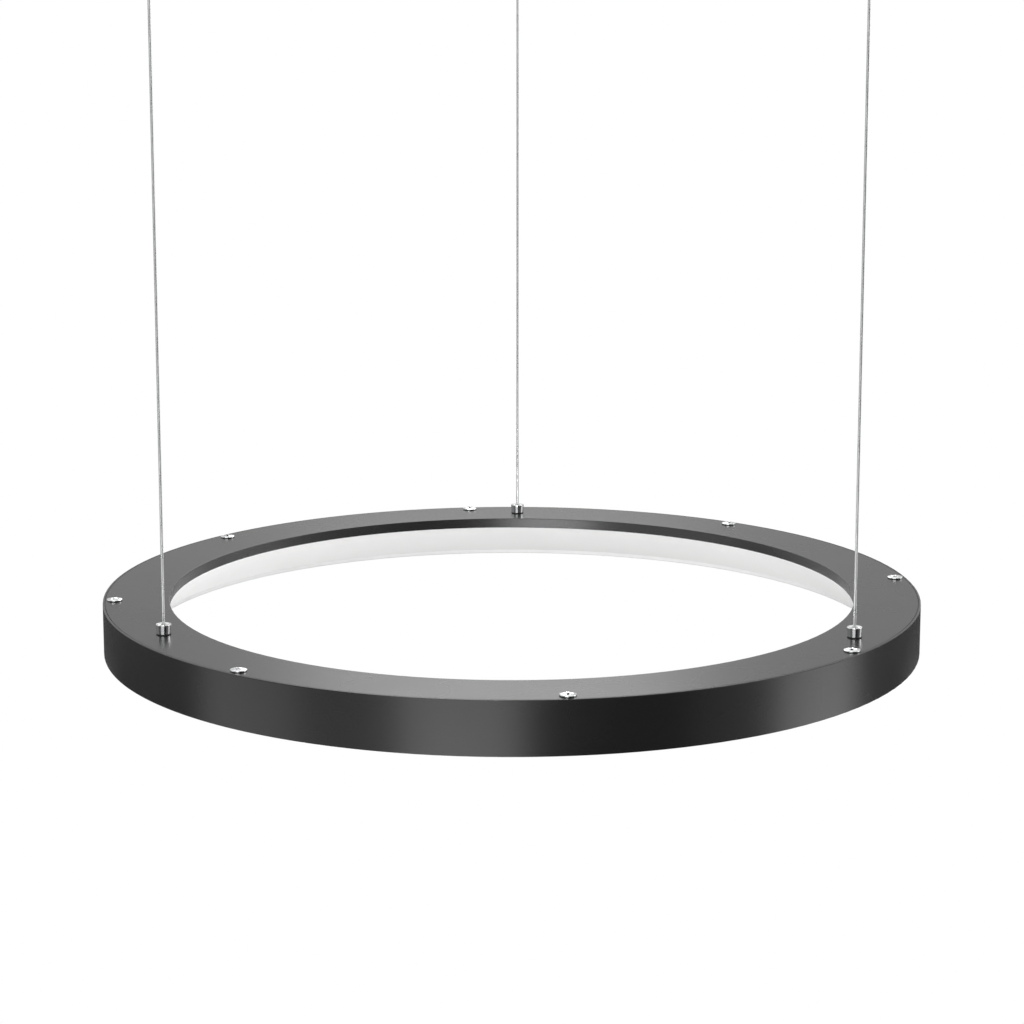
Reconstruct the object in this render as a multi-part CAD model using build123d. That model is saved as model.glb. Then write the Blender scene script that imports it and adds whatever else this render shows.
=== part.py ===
from build123d import *
from math import asin, degrees, hypot, sqrt
import os

# A flat black ring light that hangs from the ceiling on three steel ropes, in millimetres.
# Z is up. The origin lies on the ceiling, in the middle of the three rope anchors.

# Ring
RING_RADIUS = 300.0  # outside of the wall
RING_WIDTH = 48.1  # from the wall's outside to the inside of the cover's lip
RING_HEIGHT = 37.3
ROPE_DROP = 460.0  # from the ceiling to the ring's top face

# Wall of the ring, with a rim round the cover and a ledge under the lower diffuser
WALL = 2.5
RIM = 1.5
LEDGE_WIDTH = 5.5
LEDGE_THICKNESS = 1.8
SKIRT = 2.75  # how far the wall reaches below the lower diffuser
WALL_EDGE_ROUND = 0.4

# Cover
COVER_THICKNESS = 2.0
COVER_GAP = 0.35  # seam between the cover and the rim
LIP_HEIGHT = 7.75
LIP_THICKNESS = 1.5
COVER_EDGE_ROUND = 0.5

# Diffusers
SLOPE_RUN = 22.6  # how far the sloping diffuser spreads outwards below the lip
SLOPE_THICKNESS = 2.0
PLATE_THICKNESS = 3.0
DIFFUSER_CLEARANCE = 0.2

# Cover screws, M5 with a truss head, and the tapped lugs that they hold in
SCREW_COUNT = 8
SCREW_FIRST_ANGLE = 8.0
SCREW_INSET = 8.6  # from the wall's outside to the screw's axis
SCREW_RADIUS = 2.5
SCREW_LENGTH = 10.0
SCREW_HEAD_RADIUS = 5.65
SCREW_HEAD_EDGE = 0.9
SCREW_HEAD_HEIGHT = 1.9
RECESS_WIDTH = 1.1
RECESS_SPAN = 5.4
RECESS_DEPTH = 1.3
SCREW_HOLE_CLEARANCE = 0.3
THREAD_CLEARANCE = 0.05  # between any male thread and its tapped hole
LUG_WIDTH = 12.0
LUG_HEIGHT = 10.0
LUG_WEB = 4.5  # metal between the tapped hole and the lug's inner end

# Steel ropes
ROPE_RADIUS = 1.0
ROPE_ANGLES = (90, 210, 330)
ROPE_INSET = 24.6  # from the wall's outside to a rope's axis
ROPE_TAIL = 3.0  # rope below the gripper
ROPE_CLEARANCE = 0.25  # round the rope where it passes through a piece
GRIP_CLEARANCE = 0.03  # at the pieces that hold the rope: crimp and balls

# Ceiling anchors
BASE_RADIUS = 10.0
BASE_THICKNESS = 2.0
SPIGOT_RADIUS = 7.0
SPIGOT_LENGTH = 7.0
CEILING_HOLE_RADIUS = 2.25
COUNTERSINK_RADIUS = 4.75
CUP_RADIUS = 9.0
CUP_HEIGHT = 22.0
CUP_FLOOR = 3.0
CUP_EDGE_ROUND = 1.5
FERRULE_RADIUS = 3.0
FERRULE_LENGTH = 7.0

# Rope grippers: what stands on the cover
GRIPPER_FOOT_RADIUS = 4.9
GRIPPER_RIM_RADIUS = 5.3
GRIPPER_HEIGHT = 6.8
GRIPPER_EDGE = 0.3
DISH_RADIUS = 4.2
DISH_DEPTH = 1.0

# Rope grippers: the works inside
STUD_RADIUS = 4.0  # M8 thread below the cover
STUD_LENGTH = 12.5
STUD_BORE_RADIUS = 3.3
PLUNGER_RADIUS = 2.0
PLUNGER_CLEARANCE = 0.08
GUIDE_LENGTH = 2.0  # straight bore between the dish and the clamping cone
CONE_LENGTH = 6.4
BALL_DEPTH = 5.9  # from the gripper's top to the balls
BALL_COUNT = 3
BALL_POCKET_CLEARANCE = 0.08
COLLAR_RADIUS = 2.9
COLLAR_THICKNESS = 1.0
COLLAR_DROP = 0.7  # below the clamping cone
PLUG_LENGTH = 3.0
SPRING_WIRE_RADIUS = 0.25
SPRING_RADIUS = 2.5
SPRING_TURNS = 5

# Pieces that clamp a gripper to the cover
BUSH_FLANGE_RADIUS = 5.1
BUSH_FLANGE = 0.5
BUSH_WALL = 0.7
BUSH_CLEARANCE = 0.05
WASHER_RADIUS = 7.0
NYLON_WASHER = 1.0
STEEL_WASHER = 0.8  # plain washer, or the tongue of a ring terminal
NUT_ACROSS_FLATS = 13.0
NUT_HEIGHT = 3.5
BARREL_RADIUS = 1.8
BARREL_START = 8.5  # from the stud's axis
BARREL_LENGTH = 7.0
TONGUE_WIDTH = 3.0
TONGUE_OVERLAP = 1.0  # into the washer and into the barrel

# LED strips on the inside of the wall
STRIP_COUNT = 4
STRIP_FIRST_ANGLE = 30.0
STRIP_WIDTH = 10.0
STRIP_THICKNESS = 1.0
STRIP_SPACING = 4.0  # between the ends of two strips
TAPE = 0.2  # between a strip and the wall
SOLDER = 0.1  # between a strip and what is soldered or clipped to it
CHIP_SIZE = 5.0
CHIP_THICKNESS = 1.5
CHIPS_PER_STRIP = 22
JOINER_LENGTH = 16.0
JOINER_HEIGHT = 12.0
JOINER_THICKNESS = 5.0

# Driver under the cover
DRIVER_ANGLE = 255.0
DRIVER_LENGTH = 110.0
DRIVER_WIDTH = 20.0
DRIVER_HEIGHT = 14.0
DRIVER_WALL = 1.5
DRIVER_LID = 1.2
PAD_THICKNESS = 1.0
BOARD_THICKNESS = 1.6
BOARD_CLEARANCE = 0.2
TRANSFORMER_LENGTH = 16.0
TRANSFORMER_WIDTH = 12.0
TRANSFORMER_HEIGHT = 7.0
CAPACITOR_RADIUS = 3.2
CAPACITOR_HEIGHT = 7.5
CAPACITOR_SPACING = 9.0
TERMINAL_LENGTH = 6.0

# Insulated leads
LEAD_RADIUS = 0.9
LEAD_SPACING = 2.4
LEAD_END_GAP = 0.3

# Derived levels and radii
top = -ROPE_DROP
underside = top - COVER_THICKNESS
lip_low = top - LIP_HEIGHT
plate_low = top - RING_HEIGHT + SKIRT
plate_top = plate_low + PLATE_THICKNESS
lug_low = underside - LUG_HEIGHT
hole_radius = RING_RADIUS - RING_WIDTH
wall_inside = RING_RADIUS - WALL
cover_radius = RING_RADIUS - RIM - COVER_GAP
rope_circle = RING_RADIUS - ROPE_INSET
screw_circle = RING_RADIUS - SCREW_INSET
plate_inside = hole_radius + SLOPE_RUN
screw_angles = [SCREW_FIRST_ANGLE + i * 360 / SCREW_COUNT for i in range(SCREW_COUNT)]
bush_radius = STUD_RADIUS + BUSH_CLEARANCE + BUSH_WALL

os.makedirs("parts", exist_ok=True)


def polar(radius, angle, z=0):
    return Rot(0, 0, angle) * Pos(radius, 0, z)


def outline(points):
    return make_face(Polyline(*[(r, 0, z) for r, z in points], close=True))


def turned(*points):
    return revolve(outline(points), Axis.Z)


def tube(outer, inner, low, high):
    return turned((inner, low), (outer, low), (outer, high), (inner, high))


def rod(radius, low, high):
    return Pos(0, 0, low) * extrude(Circle(radius), high - low)


def block(x, y, z):
    """A box from three (low, high) pairs."""
    size = [high - low for low, high in (x, y, z)]
    return Pos(x[0], y[0], z[0]) * Box(*size, align=(Align.MIN,) * 3)


def lead(radius, z, start, end):
    """An insulated lead along an arc of the ring, between two angles."""
    section = Plane.XZ * Pos(radius, z) * Circle(LEAD_RADIUS)
    return Rot(0, 0, start) * revolve(section, Axis.Z, revolution_arc=end - start)


def save(name, *solids):
    shape = solids[0] if len(solids) == 1 else Compound(children=list(solids))
    export_step(shape, f"parts/{name}.step")


# Wall of the ring with its ledge and eight tapped lugs
housing = turned(
    (RING_RADIUS, top),
    (RING_RADIUS, top - RING_HEIGHT),
    (wall_inside, top - RING_HEIGHT),
    (wall_inside, plate_low - LEDGE_THICKNESS),
    (wall_inside - LEDGE_WIDTH, plate_low - LEDGE_THICKNESS),
    (wall_inside - LEDGE_WIDTH, plate_low),
    (wall_inside, plate_low),
    (wall_inside, underside),
    (RING_RADIUS - RIM, underside),
    (RING_RADIUS - RIM, top),
)
outer_edges = housing.edges().filter_by(GeomType.CIRCLE).group_by(SortBy.RADIUS)[-1]
housing = fillet(outer_edges, WALL_EDGE_ROUND)
lug_inside = screw_circle - SCREW_RADIUS - LUG_WEB
lug_outside = (wall_inside + RING_RADIUS - RIM) / 2
lug = block((lug_inside, lug_outside), (-LUG_WIDTH / 2, LUG_WIDTH / 2), (lug_low, underside))
tapped_hole = rod(SCREW_RADIUS + THREAD_CLEARANCE, lug_low, underside)
housing += [Rot(0, 0, angle) * lug for angle in screw_angles]
housing -= [polar(screw_circle, angle) * tapped_hole for angle in screw_angles]
save("housing_ring", housing)

# Annular cover with its turned-down lip
cover = turned(
    (hole_radius, top),
    (cover_radius, top),
    (cover_radius, underside),
    (hole_radius + LIP_THICKNESS, underside),
    (hole_radius + LIP_THICKNESS, lip_low),
    (hole_radius, lip_low),
)
inner_edges = cover.edges().filter_by(GeomType.CIRCLE).group_by(SortBy.RADIUS)[0]
cover = fillet(inner_edges, COVER_EDGE_ROUND)
screw_hole = rod(SCREW_RADIUS + SCREW_HOLE_CLEARANCE, underside, top)
bush_hole = rod(bush_radius + BUSH_CLEARANCE, underside, top)
cover -= [polar(screw_circle, angle) * screw_hole for angle in screw_angles]
cover -= [polar(rope_circle, angle) * bush_hole for angle in ROPE_ANGLES]
save("top_cover", cover)

# Sloping diffuser: a collar behind the lip, then a cone of even thickness down to the lower diffuser
collar_inside = hole_radius + LIP_THICKNESS + DIFFUSER_CLEARANCE
run = plate_inside - collar_inside
fall = lip_low - plate_top
slope = hypot(run, fall)
save(
    "inner_diffuser",
    turned(
        (collar_inside, underside),
        (collar_inside, lip_low),
        (plate_inside, plate_top),
        (plate_inside + SLOPE_THICKNESS * slope / fall, plate_top),
        (collar_inside + SLOPE_THICKNESS, lip_low + SLOPE_THICKNESS * (slope - fall) / run),
        (collar_inside + SLOPE_THICKNESS, underside),
    ),
)

# Flat lower diffuser, which lies on the wall's ledge
save("bottom_diffuser", tube(wall_inside - DIFFUSER_CLEARANCE, plate_inside, plate_low, plate_top))

# Cover screws with a domed head and a cross recess
dome = [
    Line((0, 0), (SCREW_HEAD_RADIUS, 0)),
    Line((SCREW_HEAD_RADIUS, 0), (SCREW_HEAD_RADIUS, SCREW_HEAD_EDGE)),
    Line((0, SCREW_HEAD_HEIGHT), (0, 0)),
]
dome_rise = SCREW_HEAD_HEIGHT - SCREW_HEAD_EDGE
dome_radius = (SCREW_HEAD_RADIUS**2 + dome_rise**2) / (2 * dome_rise)
dome.append(RadiusArc((SCREW_HEAD_RADIUS, SCREW_HEAD_EDGE), (0, SCREW_HEAD_HEIGHT), -dome_radius))
screw = revolve(Plane.XZ * make_face(dome), Axis.Z) + rod(SCREW_RADIUS, -SCREW_LENGTH, 0)
recess_depth = (SCREW_HEAD_HEIGHT - RECESS_DEPTH, SCREW_HEAD_HEIGHT)
across = (-RECESS_SPAN / 2, RECESS_SPAN / 2)
narrow = (-RECESS_WIDTH / 2, RECESS_WIDTH / 2)
screw -= [block(across, narrow, recess_depth), block(narrow, across, recess_depth)]
save("cover_screws", *[polar(screw_circle, angle, top) * screw for angle in screw_angles])

# Levels of a gripper, measured from the cover's top face
seat = BUSH_FLANGE
grip_top = seat + GRIPPER_HEIGHT
dish_low = grip_top - DISH_DEPTH
cone_top = dish_low - GUIDE_LENGTH
cone_low = cone_top - CONE_LENGTH
stud_low = seat - STUD_LENGTH
plug_top = stud_low + PLUG_LENGTH
guide_radius = PLUNGER_RADIUS + PLUNGER_CLEARANCE
rope_hole = ROPE_RADIUS + ROPE_CLEARANCE
collar_top = cone_low - COLLAR_DROP
collar_low = collar_top - COLLAR_THICKNESS
rope_end = stud_low - ROPE_TAIL

# Chromed gripper body: a dished head that widens upwards, and a hollow threaded stud through the cover
gripper_body = turned(
    (STUD_RADIUS, stud_low),
    (STUD_RADIUS, seat),
    (GRIPPER_FOOT_RADIUS, seat),
    (GRIPPER_RIM_RADIUS, grip_top - GRIPPER_EDGE),
    (GRIPPER_RIM_RADIUS - GRIPPER_EDGE, grip_top),
    (DISH_RADIUS, grip_top),
    (guide_radius, dish_low),
    (guide_radius, cone_top),
    (STUD_BORE_RADIUS, cone_low),
    (STUD_BORE_RADIUS, stud_low),
)

# The balls are as large as fits between the rope and the clamping cone
ball_z = grip_top - BALL_DEPTH
cone_slope = (STUD_BORE_RADIUS - guide_radius) / CONE_LENGTH
cone_cosine = 1 / hypot(1, cone_slope)
cone_here = guide_radius + (cone_top - ball_z) * cone_slope
ball_room = (cone_here - ROPE_RADIUS - GRIP_CLEARANCE) * cone_cosine - GRIP_CLEARANCE
ball_radius = ball_room / (1 + cone_cosine)
ball_circle = ROPE_RADIUS + GRIP_CLEARANCE + ball_radius
ball_angles = [i * 360 / BALL_COUNT for i in range(BALL_COUNT)]

# Release plunger: a tube round the rope that carries the balls and is pushed up by the spring
plunger = turned(
    (rope_hole, collar_low),
    (COLLAR_RADIUS, collar_low),
    (COLLAR_RADIUS, collar_top),
    (PLUNGER_RADIUS, collar_top),
    (PLUNGER_RADIUS, grip_top),
    (rope_hole, grip_top),
)
pocket = Rot(0, 90, 0) * rod(ball_radius + BALL_POCKET_CLEARANCE, 0, 2 * PLUNGER_RADIUS)
plunger -= [Rot(0, 0, angle) * Pos(0, 0, ball_z) * pocket for angle in ball_angles]
balls = [polar(ball_circle, angle, ball_z) * Sphere(ball_radius) for angle in ball_angles]

# Spring between the plunger's collar and the plug
coil_low = plug_top + SPRING_WIRE_RADIUS
coil_height = collar_low - plug_top - 2 * SPRING_WIRE_RADIUS
coil = Pos(0, 0, coil_low) * Helix(coil_height / SPRING_TURNS, coil_height, SPRING_RADIUS)
spring = sweep(Plane(coil @ 0, z_dir=coil % 0) * Circle(SPRING_WIRE_RADIUS), path=coil)

# Pieces that clamp a gripper to the cover and keep it insulated
stud_hole = STUD_RADIUS + THREAD_CLEARANCE
bush = turned(
    (STUD_RADIUS + BUSH_CLEARANCE, -COVER_THICKNESS),
    (bush_radius, -COVER_THICKNESS),
    (bush_radius, 0),
    (BUSH_FLANGE_RADIUS, 0),
    (BUSH_FLANGE_RADIUS, seat),
    (STUD_RADIUS + BUSH_CLEARANCE, seat),
)
nylon_low = -COVER_THICKNESS - NYLON_WASHER
upper_nut_low = nylon_low - NUT_HEIGHT
tongue_low = upper_nut_low - STEEL_WASHER
nylon_washer = tube(WASHER_RADIUS, stud_hole, nylon_low, -COVER_THICKNESS)
plain_washer = tube(WASHER_RADIUS, stud_hole, tongue_low, upper_nut_low)
hexagon = RegularPolygon(NUT_ACROSS_FLATS / 2, 6, major_radius=False) - Circle(stud_hole)
nut = extrude(hexagon, NUT_HEIGHT)
nuts = [Pos(0, 0, upper_nut_low) * nut, Pos(0, 0, tongue_low - NUT_HEIGHT) * nut]
plug = tube(STUD_BORE_RADIUS - THREAD_CLEARANCE, rope_hole, stud_low, plug_top)

# Ring terminal, whose barrel points along the ring towards the driver
barrel_z = (tongue_low + upper_nut_low) / 2
barrel_end = BARREL_START + BARREL_LENGTH
barrel = Pos(0, BARREL_START, barrel_z) * Rot(-90, 0, 0) * rod(BARREL_RADIUS, 0, BARREL_LENGTH)
tongue_y = (WASHER_RADIUS - TONGUE_OVERLAP, BARREL_START + TONGUE_OVERLAP)
tongue = block((-TONGUE_WIDTH / 2, TONGUE_WIDTH / 2), tongue_y, (tongue_low, upper_nut_low))
terminal = plain_washer + tongue + barrel

# Steel rope from its crimped end in the ceiling cup to its tail inside the ring
cup_low = -BASE_THICKNESS - CUP_HEIGHT
cup_floor = cup_low + CUP_FLOOR
ferrule_top = cup_floor + FERRULE_LENGTH
rope = rod(ROPE_RADIUS, top + rope_end, ferrule_top)
ferrule = tube(FERRULE_RADIUS, ROPE_RADIUS + GRIP_CLEARANCE, cup_floor, ferrule_top)

# Ceiling base with a countersunk screw hole, and the cup that screws onto it
spigot_low = -BASE_THICKNESS - SPIGOT_LENGTH
ceiling_base = turned(
    (CEILING_HOLE_RADIUS, 0),
    (BASE_RADIUS, 0),
    (BASE_RADIUS, -BASE_THICKNESS),
    (SPIGOT_RADIUS, -BASE_THICKNESS),
    (SPIGOT_RADIUS, spigot_low),
    (COUNTERSINK_RADIUS, spigot_low),
    (CEILING_HOLE_RADIUS, spigot_low + COUNTERSINK_RADIUS - CEILING_HOLE_RADIUS),
)
ceiling_cup = turned(
    (CUP_RADIUS, -BASE_THICKNESS),
    (SPIGOT_RADIUS + THREAD_CLEARANCE, -BASE_THICKNESS),
    (SPIGOT_RADIUS + THREAD_CLEARANCE, cup_floor),
    (rope_hole, cup_floor),
    (rope_hole, cup_low),
    (CUP_RADIUS, cup_low),
)
cup_edge = ceiling_cup.edges().filter_by(GeomType.CIRCLE).group_by(Axis.Z)[0].sort_by(SortBy.RADIUS)[-1]
ceiling_cup = fillet(cup_edge, CUP_EDGE_ROUND)

# One set of these pieces for each rope
for number, angle in enumerate(ROPE_ANGLES, start=1):
    at_ceiling = polar(rope_circle, angle)
    on_cover = polar(rope_circle, angle, top)
    save(f"ceiling_base_{number}", at_ceiling * ceiling_base)
    save(f"ceiling_cup_{number}", at_ceiling * ceiling_cup)
    save(f"rope_ferrule_{number}", at_ceiling * ferrule)
    save(f"suspension_rope_{number}", at_ceiling * rope)
    save(f"gripper_body_{number}", on_cover * gripper_body)
    save(f"gripper_plunger_{number}", on_cover * plunger)
    save(f"gripper_balls_{number}", *[on_cover * ball for ball in balls])
    save(f"gripper_spring_{number}", on_cover * spring)

# Small pieces that the three grippers share the pattern of
gripper_places = [polar(rope_circle, angle, top) for angle in ROPE_ANGLES]
save("gripper_bushes", *[place * bush for place in gripper_places])
save("insulating_washers", *[place * nylon_washer for place in gripper_places])
save("gripper_nuts", *[place * each for place in gripper_places for each in nuts])
save("gripper_plugs", *[place * plug for place in gripper_places])
save("plain_washer", gripper_places[0] * plain_washer)
save("ring_terminal_positive", gripper_places[1] * terminal)
save("ring_terminal_negative", gripper_places[2] * Rot(0, 0, 180) * terminal)

# LED strips round the inside of the wall, midway between the lugs and the lower diffuser
strip_middle = (lug_low + plate_top) / 2
strip_outside = wall_inside - TAPE
strip_inside = strip_outside - STRIP_THICKNESS
strip_pitch = 360 / STRIP_COUNT
strip_gap = degrees(STRIP_SPACING / strip_inside)
strip_section = outline(
    [
        (strip_inside, strip_middle - STRIP_WIDTH / 2),
        (strip_outside, strip_middle - STRIP_WIDTH / 2),
        (strip_outside, strip_middle + STRIP_WIDTH / 2),
        (strip_inside, strip_middle + STRIP_WIDTH / 2),
    ]
)
strip = revolve(strip_section, Axis.Z, revolution_arc=strip_pitch - strip_gap)
chip_back = sqrt(strip_inside**2 - (CHIP_SIZE / 2) ** 2) - SOLDER
chip_span = (-CHIP_SIZE / 2, CHIP_SIZE / 2)
chip = Pos(0, 0, strip_middle) * block((chip_back - CHIP_THICKNESS, chip_back), chip_span, chip_span)
chip_pitch = strip_pitch / CHIPS_PER_STRIP
for number in range(1, STRIP_COUNT + 1):
    start = STRIP_FIRST_ANGLE + (number - 1) * strip_pitch
    chip_angles = [start + (i + 0.5) * chip_pitch for i in range(CHIPS_PER_STRIP)]
    save(f"led_strip_{number}", Rot(0, 0, start + strip_gap / 2) * strip)
    save(f"led_chips_{number}", *[Rot(0, 0, angle) * chip for angle in chip_angles])

# Joiners over the gaps between the strips, and the feed connector over the last gap
joiner_back = sqrt(strip_inside**2 - (JOINER_LENGTH / 2) ** 2) - SOLDER
joiner_span = (-JOINER_LENGTH / 2, JOINER_LENGTH / 2)
joiner_low = strip_middle - JOINER_HEIGHT / 2
joiner = block(
    (joiner_back - JOINER_THICKNESS, joiner_back), joiner_span, (joiner_low, joiner_low + JOINER_HEIGHT)
)
joiner_angles = [STRIP_FIRST_ANGLE + i * strip_pitch for i in range(STRIP_COUNT - 1)]
connector_angle = STRIP_FIRST_ANGLE + (STRIP_COUNT - 1) * strip_pitch
connector_inside = screw_circle - 2 * LEAD_RADIUS
connector = block((connector_inside, joiner_back), joiner_span, (joiner_low, lug_low))
save("strip_joiners", *[Rot(0, 0, angle) * joiner for angle in joiner_angles])
save("strip_connector", Rot(0, 0, connector_angle) * connector)

# Driver, stuck to the underside of the cover by a pad, midway between the sloping diffuser and the wall
driver_place = Rot(0, 0, DRIVER_ANGLE)
half_length = DRIVER_LENGTH / 2
driver_top = underside - PAD_THICKNESS
driver_low = driver_top - DRIVER_HEIGHT
diffuser_here = collar_inside + (run * (lip_low - driver_low) + SLOPE_THICKNESS * slope) / fall
wall_here = sqrt(wall_inside**2 - half_length**2)
driver_middle = (diffuser_here + wall_here) / 2
driver_inside = driver_middle - DRIVER_WIDTH / 2
driver_outside = driver_middle + DRIVER_WIDTH / 2
driver_x = (driver_inside, driver_outside)
driver_y = (-half_length, half_length)
lid_low = driver_top - DRIVER_LID
floor_top = driver_low + DRIVER_WALL
room_x = (driver_inside + DRIVER_WALL, driver_outside - DRIVER_WALL)
room_y = (DRIVER_WALL - half_length, half_length - DRIVER_WALL)
case = block(driver_x, driver_y, (driver_low, lid_low)) - block(room_x, room_y, (floor_top, lid_low))
board_x = (room_x[0] + BOARD_CLEARANCE, room_x[1] - BOARD_CLEARANCE)
board_y = (room_y[0] + BOARD_CLEARANCE, room_y[1] - BOARD_CLEARANCE)
board_top = floor_top + BOARD_THICKNESS
transformer = block(
    (driver_middle - TRANSFORMER_WIDTH / 2, driver_middle + TRANSFORMER_WIDTH / 2),
    (-TRANSFORMER_LENGTH / 2, TRANSFORMER_LENGTH / 2),
    (board_top, board_top + TRANSFORMER_HEIGHT),
)
capacitor = rod(CAPACITOR_RADIUS, board_top, board_top + CAPACITOR_HEIGHT)
capacitor_y = TRANSFORMER_LENGTH / 2 + CAPACITOR_SPACING
save("driver_pad", driver_place * block(driver_x, driver_y, (driver_top, underside)))
save("driver_lid", driver_place * block(driver_x, driver_y, (lid_low, driver_top)))
save("driver_case", driver_place * case)
save("driver_board", driver_place * block(board_x, board_y, (floor_top, board_top)))
save("driver_transformer", driver_place * transformer)
save(
    "driver_capacitors",
    driver_place * Pos(driver_middle, capacitor_y) * capacitor,
    driver_place * Pos(driver_middle, -capacitor_y) * capacitor,
)

# Terminal blocks on the driver's two ends
terminal_z = (driver_low, lid_low)
terminal_end = half_length + TERMINAL_LENGTH
save(
    "driver_terminals",
    driver_place * block(driver_x, (half_length, terminal_end), terminal_z),
    driver_place * block(driver_x, (-terminal_end, -half_length), terminal_z),
)

# Leads from the ring terminals to the driver, and from the driver under the lugs to the strips
feed_z = top + barrel_z
feed_circle = hypot(rope_circle, barrel_end + LEAD_END_GAP)
driver_feed = degrees(asin((terminal_end + LEAD_END_GAP) / feed_circle))
barrel_feed = degrees(asin((barrel_end + LEAD_END_GAP) / feed_circle))
save(
    "feed_lead_positive",
    lead(feed_circle, feed_z, ROPE_ANGLES[1] + barrel_feed, DRIVER_ANGLE - driver_feed),
)
save(
    "feed_lead_negative",
    lead(feed_circle, feed_z, DRIVER_ANGLE + driver_feed, ROPE_ANGLES[2] - barrel_feed),
)
strip_feed = DRIVER_ANGLE + degrees(asin((terminal_end + LEAD_END_GAP) / screw_circle))
strip_end = connector_angle - degrees(asin((JOINER_LENGTH / 2 + LEAD_END_GAP) / screw_circle))
upper_lead = lug_low - LEAD_RADIUS - ROPE_CLEARANCE
save("strip_lead_positive", lead(screw_circle, upper_lead, strip_feed, strip_end))
save("strip_lead_negative", lead(screw_circle, upper_lead - LEAD_SPACING, strip_feed, strip_end))
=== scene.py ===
import random
from math import cos, pi, radians, sin, sqrt

import bpy
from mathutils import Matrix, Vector


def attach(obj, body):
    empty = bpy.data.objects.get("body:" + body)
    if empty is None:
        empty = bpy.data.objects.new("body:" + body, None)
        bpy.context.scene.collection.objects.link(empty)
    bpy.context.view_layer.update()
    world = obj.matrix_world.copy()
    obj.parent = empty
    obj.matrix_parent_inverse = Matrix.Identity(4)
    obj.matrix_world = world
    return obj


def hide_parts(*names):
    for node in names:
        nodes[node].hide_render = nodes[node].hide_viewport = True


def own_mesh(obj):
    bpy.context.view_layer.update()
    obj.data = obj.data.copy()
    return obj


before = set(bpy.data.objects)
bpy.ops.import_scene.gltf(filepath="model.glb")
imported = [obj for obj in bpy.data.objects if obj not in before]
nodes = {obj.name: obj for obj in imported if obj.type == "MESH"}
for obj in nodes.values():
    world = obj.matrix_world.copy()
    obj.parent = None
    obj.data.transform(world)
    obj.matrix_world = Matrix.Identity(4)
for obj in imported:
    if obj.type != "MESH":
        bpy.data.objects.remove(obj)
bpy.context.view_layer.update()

# Ceiling anchors: a turned steel base is screwed to the ceiling, and a chromed cup screws on from below
# and hides the crimped end of the rope. The crimp is a plain sleeve, pressed on.


def linear(colour):
    """The linear RGBA of an sRGB hex colour."""
    parts = [int(colour[i : i + 2], 16) / 255 for i in (1, 3, 5)]
    return [c / 12.92 if c <= 0.04045 else ((c + 0.055) / 1.055) ** 2.4 for c in parts] + [1]


def add(tree, kind, links=None, values=None, **settings):
    """Adds a shader node with its settings, its sockets' values and its links."""
    node = tree.nodes.new("ShaderNode" + kind)
    for name, value in settings.items():
        setattr(node, name, value)
    for socket, value in (values or {}).items():
        node.inputs[socket].default_value = value
    for socket, source in (links or {}).items():
        tree.links.new(source, node.inputs[socket])
    return node


def surface(name, **sockets):
    """A new material with its shader's plain values set, and its tree, shader and coordinates."""
    material = bpy.data.materials.new(name)
    material.use_nodes = True
    tree = material.node_tree
    shader = tree.nodes["Principled BSDF"]
    for socket, value in sockets.items():
        shader.inputs[socket.replace("_", " ")].default_value = value
    place = add(tree, "TexCoord").outputs["Object"]
    return material, tree, shader, place


def shade(tree, shader, pattern, dark, light, smooth=None, rough=None):
    """Colours a surface between two tones by a pattern, and its roughness too if a range is given."""
    tone = add(tree, "Mix", {0: pattern}, {6: linear(dark), 7: linear(light)}, data_type="RGBA")
    tree.links.new(tone.outputs[2], shader.inputs["Base Color"])
    if smooth is not None:
        blur = add(tree, "MapRange", {"Value": pattern}, {"To Min": smooth, "To Max": rough})
        tree.links.new(blur.outputs["Result"], shader.inputs["Roughness"])


def dress(material, *names):
    """Gives CAD nodes their real material."""
    for name in names:
        nodes[name].data.materials.clear()
        nodes[name].data.materials.append(material)


mm = 0.001

# Bright zinc plate: pale grey metal with a faint cloudy bloom, about 2 mm across
zinc_plate, tree, shader, place = surface("bright zinc plate on steel", Metallic=1.0)
bloom = add(tree, "TexNoise", {"Vector": place}, {"Scale": 1 / (2 * mm), "Detail": 4.0})
shade(tree, shader, bloom.outputs["Fac"], "#b4b7ba", "#d4d6d6", 0.24, 0.4)

# Polished chrome: a mirror, just softened by hairlines from the polishing wheel
chrome, tree, shader, place = surface("polished chrome plate", Metallic=1.0)
hairlines = add(tree, "TexNoise", {"Vector": place}, {"Scale": 1 / (0.8 * mm), "Detail": 6.0})
shade(tree, shader, hairlines.outputs["Fac"], "#e6e7e9", "#ecedee", 0.03, 0.09)

dress(zinc_plate, "ceiling_base_1", "ceiling_base_2", "ceiling_base_3")
dress(zinc_plate, "rope_ferrule_1", "rope_ferrule_2", "rope_ferrule_3")
dress(chrome, "ceiling_cup_1", "ceiling_cup_2", "ceiling_cup_3")

# Suspension ropes: bright steel rope, 2 mm thick, of six strands laid round a seventh and drawn through a
# die that presses it nearly round. The ring's weight holds each one taut, from the crimp in its ceiling
# cup to the tail below its gripper.
rope_diameter = 2 * mm
rope_circle = 275.4 * mm
rope_angles = (90, 210, 330)
rope_places = [(rope_circle * cos(radians(a)), rope_circle * sin(radians(a))) for a in rope_angles]
rope_top, cup_mouth = -14 * mm, -24 * mm
gripper_top, rope_end = -452.7 * mm, -475 * mm
straight_lead = 6 * rope_diameter
lay_length = 7.5 * rope_diameter
strand_count, strand_steps = 6, 6
pressed_radius = 0.47 * rope_diameter
strand_axis = rope_diameter / 2 - pressed_radius
route_steps = 320
crease = radians(40)

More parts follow.
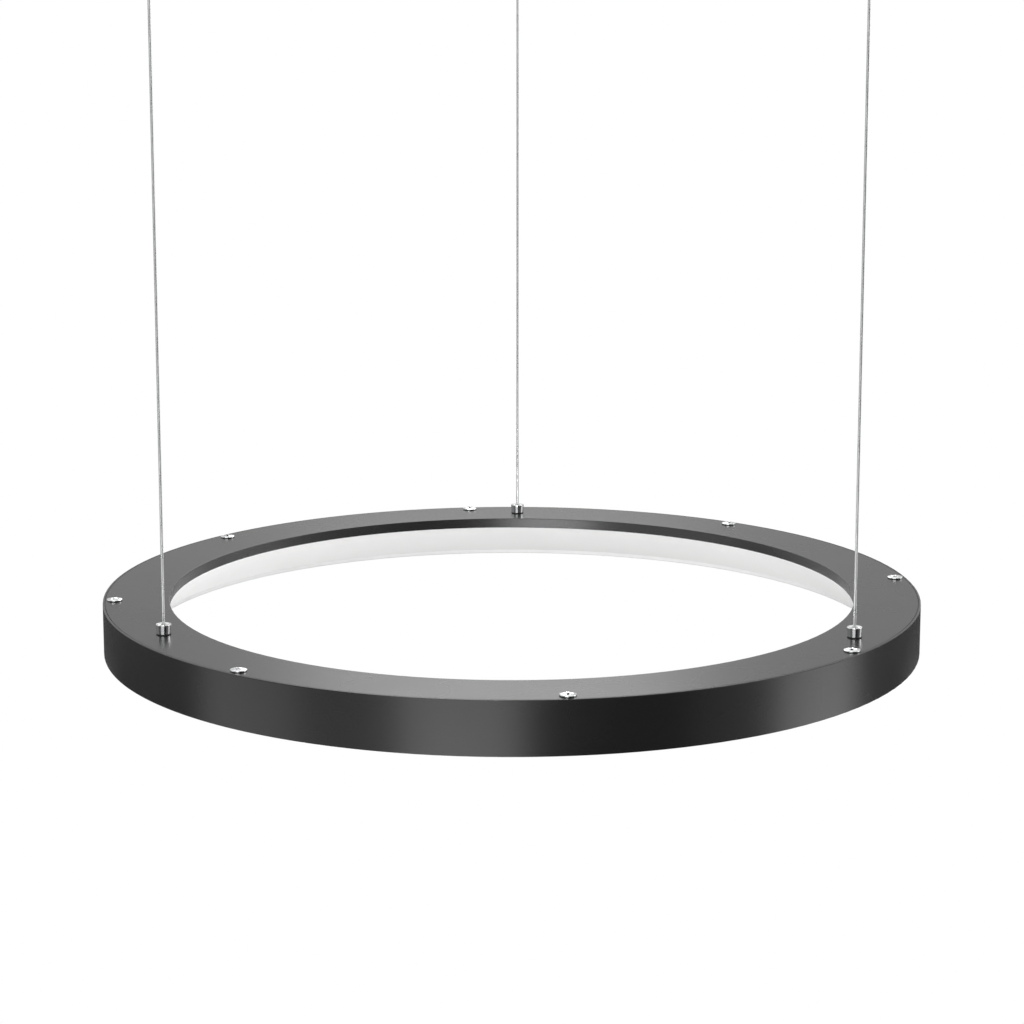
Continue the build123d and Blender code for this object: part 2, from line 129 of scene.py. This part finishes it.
# Drawn stainless steel wire: pale grey metal, with a little grease darkening it in patches 8 mm long
steel_wire, tree, shader, place = surface("drawn stainless steel wire", Metallic=1.0)
grease = add(tree, "TexNoise", {"Vector": place}, {"Scale": 1 / (8 * mm), "Detail": 3.0})
shade(tree, shader, grease.outputs["Fac"], "#b9bbbb", "#d4d5d5", 0.24, 0.32)

rope_section = []
for strand in range(strand_count):
    for step in range(strand_steps):
        off_strand = (step / strand_steps - 0.5) * 2 * pi / strand_count
        aside = strand_axis * sin(off_strand)
        reach = strand_axis * cos(off_strand) + sqrt(pressed_radius**2 - aside**2)
        rope_section.append((reach, strand * 2 * pi / strand_count + off_strand))
rope_sides = len(rope_section)


def skin(rows, sides, first=0):
    """Faces between rows of points, each row going once round."""
    faces = []
    for row in range(rows - 1):
        for side in range(sides):
            a = first + row * sides + side
            b = first + row * sides + (side + 1) % sides
            faces.append((a, a + sides, b + sides, b))
    return faces


def make_piece(name, points, faces, *materials):
    """A piece with smooth faces and crisp edges, in the scene."""
    mesh = bpy.data.meshes.new(name)
    mesh.from_pydata(points, [], faces)
    mesh.polygons.foreach_set("use_smooth", [True] * len(mesh.polygons))
    mesh.set_sharp_from_angle(angle=crease)
    for material in materials:
        mesh.materials.append(material)
    piece = bpy.data.objects.new(name, mesh)
    bpy.context.collection.objects.link(piece)
    return piece


for number, (x, y) in enumerate(rope_places, start=1):
    route = bpy.data.curves.new("rope_route", "CURVE")
    route.dimensions = "3D"
    line = route.splines.new("NURBS")
    heights = (rope_top, cup_mouth - straight_lead, gripper_top + straight_lead, rope_end)
    line.points.add(len(heights) - 1)
    for point, height in zip(line.points, heights):
        point.co = (x, y, height, 1)
    line.order_u = 3
    line.use_endpoint_u = True
    line.resolution_u = route_steps
    guide = bpy.data.objects.new("rope_route", route)
    path = [vertex.co.copy() for vertex in bpy.data.meshes.new_from_object(guide).vertices]
    bpy.data.objects.remove(guide)

    points = []
    travelled = 0.0
    for i, centre in enumerate(path):
        travelled += (centre - path[i - 1]).length if i else 0.0
        turn = 2 * pi * travelled / lay_length
        for reach, around in rope_section:
            points.append(centre + reach * Vector((cos(around + turn), sin(around + turn), 0)))
    faces = skin(len(path), rope_sides)
    faces.append(list(range(rope_sides)))
    faces.append([len(points) - 1 - side for side in range(rope_sides)])
    rope = make_piece(f"stranded_rope_{number}", points, faces, steel_wire)
    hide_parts(f"suspension_rope_{number}")
    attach(rope, "ceiling")
    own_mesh(rope)

# Wall of the ring and its cover: rolled aluminium strip and a spun annular plate with a turned-down inner
# lip, both bead blasted and anodised black. The cover lies in the wall's rim and is held by eight screws.

# Black anodised aluminium: near black and satin, with soft reflections. The blasted grain is 0.3 mm, drawn
# four times as coarse so that it shows, and the sheen varies a little over some 60 mm.
black_anodised, tree, shader, place = surface("bead blasted black anodised aluminium")
grain = add(tree, "TexNoise", {"Vector": place}, {"Scale": 1 / (1.2 * mm), "Detail": 2.0})
drift = add(tree, "TexNoise", {"Vector": place}, {"Scale": 1 / (60 * mm), "Detail": 2.0})
blur = add(tree, "MapRange", {"Value": drift.outputs["Fac"]}, {"To Min": 0.24, "To Max": 0.3})
bump = add(tree, "Bump", {"Height": grain.outputs["Fac"]}, {"Strength": 0.02, "Distance": 0.1 * mm})
shade(tree, shader, grain.outputs["Fac"], "#161616", "#1b1b1b")
tree.links.new(blur.outputs["Result"], shader.inputs["Roughness"])
tree.links.new(bump.outputs["Normal"], shader.inputs["Normal"])
dress(black_anodised, "housing_ring", "top_cover")

# Diffusers: a sloping ring behind the cover's lip, heat formed, and a flat ring that lies on the wall's
# ledge, both of opal acrylic sheet. The flat one is laser cut.
lip_low, plate_top = -467.75 * mm, -491.55 * mm
plate_low, plate_bore = -494.55 * mm, 274.5 * mm
# Height of the painted shade line along the lower part of the cut edge
edge_shade_band = 0.9 * mm
formed_clouds, cut_clouds = 0.3, 0.1

# Opal acrylic: milky white with a soft gloss, and faint clouds some 30 mm across in its whiteness. It is a
# little less white from the lip down to the lower diffuser, which is painted shade.
opal_acrylic, tree, shader, place = surface("formed opal acrylic sheet", Roughness=0.4, IOR=1.49)
clouds = add(tree, "TexNoise", {"Vector": place}, {"Scale": 1 / (30 * mm), "Detail": 3.0})
height = add(tree, "SeparateXYZ", {0: place})
# Painted shade: whiter at the lip and greyer down towards the lower diffuser, by height
height_shade_range = {"From Min": plate_top, "From Max": lip_low, "To Min": 0.0, "To Max": 1 - formed_clouds}
height_shade = add(tree, "MapRange", {"Value": height.outputs["Z"]}, height_shade_range)
cloudy = {0: clouds.outputs["Fac"], 2: height_shade.outputs["Result"]}
white = add(tree, "Math", cloudy, {1: formed_clouds}, operation="MULTIPLY_ADD")
shade(tree, shader, white.outputs[0], "#e4e4e3", "#f8f8f8")
dress(opal_acrylic, "inner_diffuser")

# Cut opal acrylic: an even satin white, with a faint grey line of painted shade along the lower part of the
# cut edge at the bore
cut_acrylic, tree, shader, place = surface("laser cut opal acrylic sheet", Roughness=0.6, IOR=1.49)
clouds = add(tree, "TexNoise", {"Vector": place}, {"Scale": 1 / (30 * mm), "Detail": 3.0})
height = add(tree, "SeparateXYZ", {0: place})
flat = add(tree, "Mapping", {"Vector": place}, {"Scale": (1, 1, 0)})
radius = add(tree, "VectorMath", {0: flat.outputs[0]}, operation="LENGTH")
# Painted shade: the lower part of the cut edge at the bore, about 0.9 mm high, is greyed
fade = {"From Min": plate_low + edge_shade_band / 2, "From Max": plate_low + edge_shade_band}
above = add(tree, "MapRange", {"Value": height.outputs["Z"]}, fade)
fade = {"From Min": plate_bore, "From Max": plate_bore + edge_shade_band / 2}
beside = add(tree, "MapRange", {"Value": radius.outputs["Value"]}, fade)
clear = add(tree, "Math", {0: above.outputs[0], 1: beside.outputs[0]}, operation="MAXIMUM")
faint = {1: cut_clouds, 2: 1 - cut_clouds}
white = add(tree, "Math", {0: clouds.outputs["Fac"]}, faint, operation="MULTIPLY_ADD")
white = add(tree, "Math", {0: white.outputs[0], 1: clear.outputs[0]}, operation="MULTIPLY")
shade(tree, shader, white.outputs[0], "#dededc", "#f2f2f2")
dress(cut_acrylic, "bottom_diffuser")

# Cover screws: M5 machine screws with a low domed head and a cross recess, chromed. They go through the
# cover into tapped lugs on the wall, and each was stopped at its own angle.
ring_top = -460 * mm
screw_circle = 291.4 * mm
screw_angles = [8.0 + 45.0 * i for i in range(8)]
head_radius, head_height, head_edge = 5.65 * mm, 1.9 * mm, 1.1 * mm
edge_round = 0.15 * mm
under_round = 0.5 * mm
recess_width, recess_span, recess_depth, recess_draft = 1.7 * mm, 6.8 * mm, 1.5 * mm, 0.25 * mm
# Painted shade: faces sunk deeper than this into the cross recess take a dark, dull chrome
shaded_depth = 0.2 * mm
shank_radius, shank_length, shank_point = 2.5 * mm, 10 * mm, 0.8 * mm
screw_sides, recess_rings, dome_rings = 96, 26, 10
recess_zone = recess_span * 0.55
wing_rise = 0.5


def rounded_step(distance):
    """Goes smoothly from 0 to 1 over one unit."""
    t = min(max(distance, 0.0), 1.0)
    return t * t * (3 - 2 * t)


def dome_at(radius):
    """Height of the screw head's dome."""
    return head_height - (head_height - head_edge) * (radius / head_radius) ** 2


def recess_at(u, v):
    """Depth of the cross recess at a point of the screw head's face."""
    depth = 0.0
    for along, across in ((abs(u), abs(v)), (abs(v), abs(u))):
        wall = (recess_width / 2 - across) / recess_draft + 0.5
        end = (recess_span / 2 - along) / recess_draft + 0.5
        wing = recess_depth * (1 - wing_rise * along / (recess_span / 2))
        depth = max(depth, wing * rounded_step(wall) * rounded_step(end))
    return depth


screw_rows = [recess_zone * (i + 1) / recess_rings for i in range(recess_rings)]
flat_to_rim = head_radius - edge_round - screw_rows[-1]
screw_rows += [screw_rows[-1] + flat_to_rim * (i + 1) / dome_rings for i in range(dome_rings)]
rim_drop = dome_at(head_radius - edge_round)
screw_outline = [
    (head_radius - edge_round * (1 - sin(radians(a))), rim_drop - edge_round * (1 - cos(radians(a))))
    for a in (30, 60, 90)
]
screw_outline += [
    (head_radius - under_round * (1 - cos(radians(a))), under_round * (1 - sin(radians(a))))
    for a in (0, 20, 40, 60, 80)
]
screw_outline += [
    (shank_radius, 0.0),
    (shank_radius, shank_point - shank_length),
    (shank_radius - shank_point, -shank_length),
]

# Recess shade: chrome painted dull and dark as shade where the cross recess sinks in, blotched over 1 mm
recess_shade_chrome, tree, shader, place = surface("chrome with painted recess shade", Metallic=1.0)
blotches = add(tree, "TexNoise", {"Vector": place}, {"Scale": 1 / (1 * mm), "Detail": 3.0})
shade(tree, shader, blotches.outputs["Fac"], "#242426", "#3a3a3c", 0.4, 0.55)

turns = random.Random(287)
points, faces, sunk = [], [], []
for angle in screw_angles:
    axis = Vector((screw_circle * cos(radians(angle)), screw_circle * sin(radians(angle)), ring_top))
    stopped = turns.uniform(0, pi / 2)
    middle = len(points)
    points.append(axis + Vector((0, 0, dome_at(0) - recess_at(0, 0))))
    sunk.append(True)
    for radius in screw_rows:
        for side in range(screw_sides):
            around = 2 * pi * side / screw_sides
            depth = recess_at(radius * cos(around - stopped), radius * sin(around - stopped))
            height = dome_at(radius) - depth
            points.append(axis + Vector((radius * cos(around), radius * sin(around), height)))
            sunk.append(depth > shaded_depth)
    for radius, height in screw_outline:
        for side in range(screw_sides):
            around = 2 * pi * side / screw_sides
            points.append(axis + Vector((radius * cos(around), radius * sin(around), height)))
            sunk.append(False)
    for side in range(screw_sides):
        faces.append((middle, middle + 1 + side, middle + 1 + (side + 1) % screw_sides))
    faces += skin(len(screw_rows) + len(screw_outline), screw_sides, first=middle + 1)
    faces.append([len(points) - 1 - side for side in range(screw_sides)])
screws = make_piece("domed_screws", points, faces, chrome, recess_shade_chrome)
# Painted shade: faces wholly sunk into the cross recess get the dark chrome
in_recess = [int(all(sunk[i] for i in face)) for face in faces]
screws.data.polygons.foreach_set("material_index", in_recess)
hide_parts("cover_screws")
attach(screws, "ring")

# Rope grippers: brass bodies, turned, polished and chromed, each with a dished head that flares a little
# upwards and a hollow threaded stud through the cover. Its corners, from the foot of the stud up the outside
# and down the bore, are radius, height over the cover and rounding, in millimetres.
gripper_profile = [
    (3.3, -12.0, 0.0),
    (4.0, -12.0, 0.3),
    (4.0, 0.5, 0.0),
    (4.9, 0.5, 0.4),
    (5.3, 7.3, 0.25),
    (4.6, 7.3, 0.15),
    (3.6, 6.5, 0.5),
    (2.08, 6.3, 0.1),
    (2.08, 4.3, 0.0),
    (3.3, -2.1, 0.0),
]
gripper_sides, corner_steps = 96, 4
straight_beside = 0.1
outline = []
for i, (radius, height, rounding) in enumerate(gripper_profile):
    corner = Vector((radius, height))
    before = Vector(gripper_profile[i - 1][:2]) - corner
    after = Vector(gripper_profile[(i + 1) % len(gripper_profile)][:2]) - corner
    if rounding:
        back, ahead = before.normalized(), after.normalized()
        start, end = corner + back * rounding, corner + ahead * rounding
        outline.append(start + back * straight_beside)
        for step in range(corner_steps + 1):
            t = step / corner_steps
            outline.append((1 - t) ** 2 * start + 2 * t * (1 - t) * corner + t * t * end)
        outline.append(end + ahead * straight_beside)
    else:
        outline.append(corner)
for number, (x, y) in enumerate(rope_places, start=1):
    axis = Vector((x, y, ring_top))
    points, faces = [], []
    for corner in outline:
        for side in range(gripper_sides):
            around = 2 * pi * side / gripper_sides
            radius, height = corner * mm
            points.append(axis + Vector((radius * cos(around), radius * sin(around), height)))
    for row in range(len(outline)):
        for side in range(gripper_sides):
            a = row * gripper_sides + side
            b = row * gripper_sides + (side + 1) % gripper_sides
            c = ((row + 1) % len(outline)) * gripper_sides
            faces.append((a, b, c + (side + 1) % gripper_sides, c + side))
    gripper = make_piece(f"dished_gripper_{number}", points, faces, chrome)
    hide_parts(f"gripper_body_{number}")
    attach(gripper, "ring")

# Works of the grippers: a nickelled plunger round the rope, three hard balls in its wall, the spring that
# pushes it up and the zinc plated plug that the spring stands on.

# Bright nickel plate: faintly warm grey metal, mirror smooth, with hairlines of wear half a millimetre apart
nickel, tree, shader, place = surface("bright nickel plate on brass", Metallic=1.0)
wear = add(tree, "TexNoise", {"Vector": place}, {"Scale": 1 / (0.5 * mm), "Detail": 5.0})
shade(tree, shader, wear.outputs["Fac"], "#c3c1bc", "#d9d8d4", 0.1, 0.22)

# Hardened spring steel: grey blue metal with streaks from drawing, drawn 1 mm wide so that they show
spring_steel, tree, shader, place = surface("drawn spring steel", Metallic=1.0)
streaks = add(tree, "TexNoise", {"Vector": place}, {"Scale": 1 / (1 * mm), "Detail": 4.0})
shade(tree, shader, streaks.outputs["Fac"], "#8f9398", "#b9bcc0", 0.2, 0.34)

spring_low, spring_high = -469 * mm, -463.83 * mm
spring_length = spring_high - spring_low
coil_radius, wire_radius, coil_turns = 2.5 * mm, 0.25 * mm, 5
closed_pitch = 2.1 * wire_radius
open_pitch = (spring_length - 2 * wire_radius - 2 * closed_pitch) / (coil_turns - 2)
turn_steps, wire_sides = 48, 12
coil_steps = coil_turns * turn_steps
for number, (x, y) in enumerate(rope_places, start=1):
    foot = Vector((x, y, spring_low))
    points = []
    for i in range(coil_steps + 1):
        turned = i / turn_steps
        open_turns = min(max(turned - 1, 0), coil_turns - 2)
        rise = wire_radius + closed_pitch * (turned - open_turns) + open_pitch * open_turns
        outward = Vector((cos(2 * pi * turned), sin(2 * pi * turned), 0))
        for side in range(wire_sides):
            around = 2 * pi * side / wire_sides
            height = Vector((0, 0, rise + wire_radius * sin(around)))
            points.append(foot + (coil_radius + wire_radius * cos(around)) * outward + height)
    faces = skin(coil_steps + 1, wire_sides)
    faces.append(list(range(wire_sides)))
    faces.append([len(points) - 1 - side for side in range(wire_sides)])
    spring = make_piece(f"coiled_spring_{number}", points, faces, spring_steel)
    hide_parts(f"gripper_spring_{number}")
    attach(spring, "ring")
    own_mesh(spring)
    dress(nickel, f"gripper_plunger_{number}")
    dress(spring_steel, f"gripper_balls_{number}")
dress(zinc_plate, "gripper_plugs")

# Pieces that clamp a gripper to the cover: a flanged nylon bush and a nylon washer that insulate it, two
# steel nuts, and between them a plain washer or the ring terminal of a feed lead.
dress(zinc_plate, "gripper_nuts", "plain_washer")

# Black nylon: moulded, matt, with a fine spark grain of 0.4 mm
black_nylon, tree, shader, place = surface("moulded black nylon", IOR=1.53)
spark = add(tree, "TexNoise", {"Vector": place}, {"Scale": 1 / (0.4 * mm), "Detail": 2.0})
bump = add(tree, "Bump", {"Height": spark.outputs["Fac"]}, {"Strength": 0.2, "Distance": 0.05 * mm})
shade(tree, shader, spark.outputs["Fac"], "#0e0e0e", "#171717", 0.45, 0.6)
tree.links.new(bump.outputs["Normal"], shader.inputs["Normal"])
dress(black_nylon, "gripper_bushes", "insulating_washers")

# Tinned brass: dull silver metal with a soft mottle about 1.5 mm across
tinned_brass, tree, shader, place = surface("tinned brass sheet", Metallic=1.0)
mottle = add(tree, "TexNoise", {"Vector": place}, {"Scale": 1 / (1.5 * mm), "Detail": 3.0})
shade(tree, shader, mottle.outputs["Fac"], "#bcb9b0", "#d8d6cf", 0.3, 0.45)
dress(tinned_brass, "ring_terminal_positive", "ring_terminal_negative")

# LED strips: flexible circuit strips with a white solder mask, taped to the inside of the wall, with
# square LEDs soldered on. Clip-on joiners bridge their ends, and one connector takes the leads.
strip_middle = -481.8 * mm
chips_round = 88
strip_edge = 3.6 * mm
pad_share = 0.12

# White solder mask: glossy white lacquer, with bare tinned pads beside each LED
strip_lacquer, tree, shader, place = surface("white solder mask", Roughness=0.35, IOR=1.5)
turn = add(tree, "TexGradient", {"Vector": place}, gradient_type="RADIAL")
step = add(tree, "Math", {0: turn.outputs["Fac"]}, {1: chips_round}, operation="MULTIPLY")
share = add(tree, "Math", {0: step.outputs[0]}, operation="FRACT")
pad = add(tree, "Math", {0: share.outputs[0]}, {1: pad_share}, operation="LESS_THAN")
depth = add(tree, "SeparateXYZ", {0: place})
off_middle = add(tree, "Math", {0: depth.outputs["Z"]}, {1: strip_middle}, operation="SUBTRACT")
off_middle = add(tree, "Math", {0: off_middle.outputs[0]}, operation="ABSOLUTE")
inside = add(tree, "Math", {0: off_middle.outputs[0]}, {1: strip_edge}, operation="LESS_THAN")
bare = add(tree, "Math", {0: pad.outputs[0], 1: inside.outputs[0]}, operation="MULTIPLY")
shade(tree, shader, bare.outputs[0], "#efefeb", "#b9a27c")
dress(strip_lacquer, "led_strip_1", "led_strip_2", "led_strip_3", "led_strip_4")

# Phosphor in silicone: matt yellow, a little uneven over 1 mm where the grains have settled
phosphor, tree, shader, place = surface("phosphor in clear silicone", Roughness=0.45, IOR=1.41)
grains = add(tree, "TexNoise", {"Vector": place}, {"Scale": 1 / (1 * mm), "Detail": 3.0})
shade(tree, shader, grains.outputs["Fac"], "#e4c33f", "#f1da6c")
dress(phosphor, "led_chips_1", "led_chips_2", "led_chips_3", "led_chips_4")

# White nylon: moulded, with a soft gloss and faint flow marks some 6 mm long
white_nylon, tree, shader, place = surface("moulded white nylon", IOR=1.53)
flow = add(tree, "TexNoise", {"Vector": place}, {"Scale": 1 / (6 * mm), "Detail": 3.0})
shade(tree, shader, flow.outputs["Fac"], "#e6e5df", "#efeee9", 0.4, 0.52)
dress(white_nylon, "strip_joiners", "strip_connector")

# Driver: a moulded nylon case with a lid, stuck under the cover by a foam pad. In it a circuit board with
# a transformer and two capacitors, and at each end a terminal block.
driver_turn = radians(255)
tape_lap, stripe_spacing, stripe_from = 3 * mm, 6 * mm, 0.85
wave_radians_per_metre = 20
dress(white_nylon, "driver_case", "driver_lid")

# Foam pad: dark grey foam rubber with open cells of about 0.6 mm
foam, tree, shader, place = surface("open cell foam rubber", Roughness=0.9)
cells = add(tree, "TexVoronoi", {"Vector": place}, {"Scale": 1 / (0.6 * mm)})
bump = add(tree, "Bump", {"Height": cells.outputs["Distance"]}, {"Strength": 0.6, "Distance": 0.2 * mm})
shade(tree, shader, cells.outputs["Distance"], "#2c2c2c", "#474746")
tree.links.new(bump.outputs["Normal"], shader.inputs["Normal"])
dress(foam, "driver_pad")

# Circuit board: green solder mask over copper tracks, which show as lighter lines about 2 mm apart
board_mask, tree, shader, place = surface("green solder mask", Roughness=0.35, IOR=1.5)
square_on = add(tree, "Mapping", {"Vector": place}, {"Rotation": (0, 0, -driver_turn)})
tracks = add(
    tree,
    "TexBrick",
    {"Vector": square_on.outputs[0]},
    {"Scale": 1.0, "Mortar Size": 0.3 * mm, "Brick Width": 9 * mm, "Row Height": 2 * mm},
)
tree.links.new(tracks.outputs["Color"], shader.inputs["Base Color"])
tracks.inputs["Color1"].default_value = linear("#14522b")
tracks.inputs["Color2"].default_value = linear("#165a2f")
tracks.inputs["Mortar"].default_value = linear("#3f8a4e")
dress(board_mask, "driver_board")

# Transformer: dark ferrite wrapped in polyester tape, whose amber turns lap every 3 mm
tape, tree, shader, place = surface("amber polyester tape over ferrite", Roughness=0.3, IOR=1.58)
square_on = add(tree, "Mapping", {"Vector": place}, {"Rotation": (0, 0, -driver_turn)})
laps = add(
    tree,
    "TexWave",
    {"Vector": square_on.outputs[0]},
    {"Scale": 2 * pi / (wave_radians_per_metre * tape_lap), "Distortion": 0.6, "Detail": 1.0},
    bands_direction="Y",
)
shade(tree, shader, laps.outputs["Fac"], "#2a2118", "#a8772a")
dress(tape, "driver_transformer")

# Capacitor sleeve: dark shrink tube with a pale stripe down one side
sleeve, tree, shader, place = surface("dark shrink sleeve", Roughness=0.3, IOR=1.53)
square_on = add(tree, "Mapping", {"Vector": place}, {"Rotation": (0, 0, -driver_turn)})
stripe = add(
    tree,
    "TexWave",
    {"Vector": square_on.outputs[0]},
    {"Scale": 2 * pi / (wave_radians_per_metre * stripe_spacing), "Distortion": 0.0},
    bands_direction="X",
)
edge = add(tree, "Math", {0: stripe.outputs["Fac"]}, {1: stripe_from}, operation="GREATER_THAN")
shade(tree, shader, edge.outputs[0], "#17171c", "#8d8f96")
dress(sleeve, "driver_capacitors")

# Terminal blocks: moulded green polyamide, with a soft gloss and faint flow marks
green_nylon, tree, shader, place = surface("moulded green polyamide", IOR=1.53)
flow = add(tree, "TexNoise", {"Vector": place}, {"Scale": 1 / (4 * mm), "Detail": 3.0})
shade(tree, shader, flow.outputs["Fac"], "#1f6b38", "#2c8248", 0.35, 0.5)
dress(green_nylon, "driver_terminals")

# Leads: stranded copper in PVC, red for plus and black for minus, from the ring terminals to the driver
# and from the driver under the lugs to the strips.

# PVC insulation: smooth, slightly glossy, with faint bands 5 mm apart from the extruder
for colour, dark, light, pole in (
    ("red", "#8c1414", "#a81d1a", "positive"),
    ("black", "#101010", "#1b1b1b", "negative"),
):
    insulation, tree, shader, place = surface(f"extruded {colour} PVC", IOR=1.53)
    bands = add(tree, "TexNoise", {"Vector": place}, {"Scale": 1 / (5 * mm), "Detail": 2.0})
    shade(tree, shader, bands.outputs["Fac"], dark, light, 0.3, 0.45)
    dress(insulation, f"feed_lead_{pole}", f"strip_lead_{pole}")

# Camera: where the photograph was taken from, above the ring and level with the ceiling anchors.
camera = bpy.data.objects.new("camera", bpy.data.cameras.new("camera"))
camera.data.lens = 93.35
camera.data.shift_y = -0.0791
camera.location = (0.03283, -1.91784, 0.00061)
camera.rotation_euler = (radians(90 - 10.097), 0, radians(0.976))
bpy.context.collection.objects.link(camera)
bpy.context.scene.camera = camera

# Studio: white all round over a matt white floor, with soft lamps above the ring in front and at the right,
# and below it on every side. Panels round it and cards close under it, from black to bright white, stand
# where only reflections show them.
bpy.context.scene.view_settings.view_transform = "Standard"
world = bpy.data.worlds.new("studio")
bpy.context.scene.world = world
world.use_nodes = True
tree = world.node_tree
tree.nodes.clear()


def shows_background(tree):
    """1 for what the camera sees, straight, mirrored or through glass, and 0 for light on the object."""
    ray = add(tree, "LightPath").outputs
    seen = ray["Is Camera Ray"]
    for kind in ("Is Glossy Ray", "Is Transmission Ray"):
        seen = add(tree, "Math", {0: seen, 1: ray[kind]}, operation="MAXIMUM").outputs[0]
    return seen


white = add(tree, "Background", values={"Color": linear("#ffffff"), "Strength": 1.0})
fill = add(tree, "Background", values={"Color": linear("#ffffff"), "Strength": 0.12})
mixed = add(tree, "MixShader", {0: shows_background(tree), 1: fill.outputs[0], 2: white.outputs[0]})
add(tree, "OutputWorld", {"Surface": mixed.outputs[0]})
ring_middle = Vector((0, 0, -0.48))
panel_distance, card_distance = 3.2, 0.27
panel_columns = 24


def direction(azimuth, elevation):
    """The way from the ring to a place in the studio, by its angles in degrees."""
    flat = cos(radians(elevation))
    return Vector((flat * cos(radians(azimuth)), flat * sin(radians(azimuth)), sin(radians(elevation))))


def softbox(name, azimuth, elevation, distance, width, height, radiance):
    """A soft rectangular lamp that faces the ring."""
    lamp = bpy.data.lights.new(name, "AREA")
    lamp.shape = "RECTANGLE"
    lamp.size, lamp.size_y = width, height
    lamp.energy = radiance * pi * width * height
    box = bpy.data.objects.new(name, lamp)
    aim = direction(azimuth, elevation)
    box.location = ring_middle + distance * aim
    box.rotation_euler = (-aim).to_track_quat("-Z", "Y").to_euler()
    box.visible_camera = False
    bpy.context.collection.objects.link(box)


def panel(name, start, end, low, high, level, distance=panel_distance):
    """A curved panel of an even brightness round the ring, which only reflections show."""
    corners = []
    for i in range(panel_columns + 1):
        azimuth = start + (end - start) * i / panel_columns
        corners += [ring_middle + distance * direction(azimuth, e) for e in (low, high)]
    mesh = bpy.data.meshes.new(name)
    mesh.from_pydata(corners, [], [(2 * i, 2 * i + 2, 2 * i + 3, 2 * i + 1) for i in range(panel_columns)])
    board, tree, *_ = surface(name)
    glow = add(tree, "Emission", values={"Color": linear("#ffffff"), "Strength": level})
    tree.links.new(glow.outputs[0], tree.nodes["Material Output"].inputs["Surface"])
    mesh.materials.append(board)
    flag = bpy.data.objects.new(name, mesh)
    bpy.context.collection.objects.link(flag)
    for rays in ("camera", "diffuse", "shadow", "transmission"):
        setattr(flag, "visible_" + rays, False)


softbox("upper_front_softbox", -103, 28, 5.0, 3.8, 1.4, 7.0)
softbox("upper_right_softbox", 10, 15, 5.0, 2.5, 1.6, 3.8)
softbox("lower_left_softbox", -161, -27, 2.6, 1.45, 1.5, 0.85)
softbox("lower_front_softbox", -102, -27, 2.6, 1.35, 1.5, 2.2)
softbox("lower_right_softbox", -3, -27, 2.6, 1.25, 1.5, 1.6)
softbox("floor_right_softbox", 38, -36, 2.6, 2.0, 0.9, 4.6)
softbox("floor_left_softbox", 142, -36, 2.6, 2.0, 0.9, 2.7)
softbox("floor_front_softbox", -90, -50, 2.4, 2.0, 0.9, 0.5)
for name, start, end, low, high, level in (
    ("black_panel_front", -80, -44, 20, 60, 0.05),
    ("dark_wall_left", -160, -122, -9.7, 20, 0.12),
    ("dark_wall_right", -82, -12, -9.7, 20, 0.12),
    ("light_wall_front", -122, -82, 2, 20, 1.2),
    ("black_panel_low", -85, -42, -45, -9.7, 0.04),
    ("grey_panel_low_right", -42, -17, -45, -9.7, 0.35),
    ("dark_panel_low_right", 16, 52, -45, -9.7, 0.07),
    ("dark_panel_low_back", 52, 102, -16, -8.4, 0.07),
    ("dark_panel_low_far", 102, 126, -16, -9.7, 0.07),
    ("grey_panel_low_back", 92, 126, -45, -16, 0.9),
    ("dark_panel_low_left", 126, 183, -45, -9.7, 0.07),
    ("grey_panel_low_left", 183, 242, -45, -9.7, 0.6),
    ("grey_panel_back", 48, 150, 4, 32, 0.68),
):
    panel(name, start, end, low, high, level)
panel("white_panel_back", 84.5, 98.5, 18, 40, 3.0, distance=panel_distance - 0.1)
panel("white_card_below", -180, 180, -14.5, -4.2, 0.95, distance=card_distance)
panel("light_card_back", 50, 84, -14.5, -10.8, 5.2, distance=card_distance - 2 * mm)
panel("grey_card_back", 55, 92, -10.8, -4.2, 0.12, distance=card_distance - 2 * mm)
panel("dark_card_right", -5, 42, -27, -14.5, 0.12, distance=card_distance)
panel("bright_card_front", -129, -87, -22, -14.5, 17.6, distance=card_distance)
panel("light_card_left", -150, -129, -22.5, -14.5, 1.4, distance=card_distance)
panel("pale_card_left", 140, 210, -27, -14.5, 1.4, distance=card_distance)

floor_level, floor_half = -2.4, 8.0
corners = [(floor_half * a, floor_half * b, floor_level) for a, b in ((-1, -1), (1, -1), (1, 1), (-1, 1))]
floor = bpy.data.objects.new("floor", bpy.data.meshes.new("floor"))
floor.data.from_pydata(corners, [], [(0, 1, 2, 3)])
bpy.context.collection.objects.link(floor)

# White floor paint: matt, and plain white to the camera
paint, tree, shader, _ = surface("matt white floor paint", Roughness=0.8)
shader.inputs["Base Color"].default_value = linear("#f2f2f2")
glow = add(tree, "Emission", values={"Color": linear("#ffffff"), "Strength": 1.0})
mixed = add(tree, "MixShader", {0: shows_background(tree), 1: shader.outputs[0], 2: glow.outputs[0]})
tree.links.new(mixed.outputs[0], tree.nodes["Material Output"].inputs["Surface"])
floor.data.materials.append(paint)
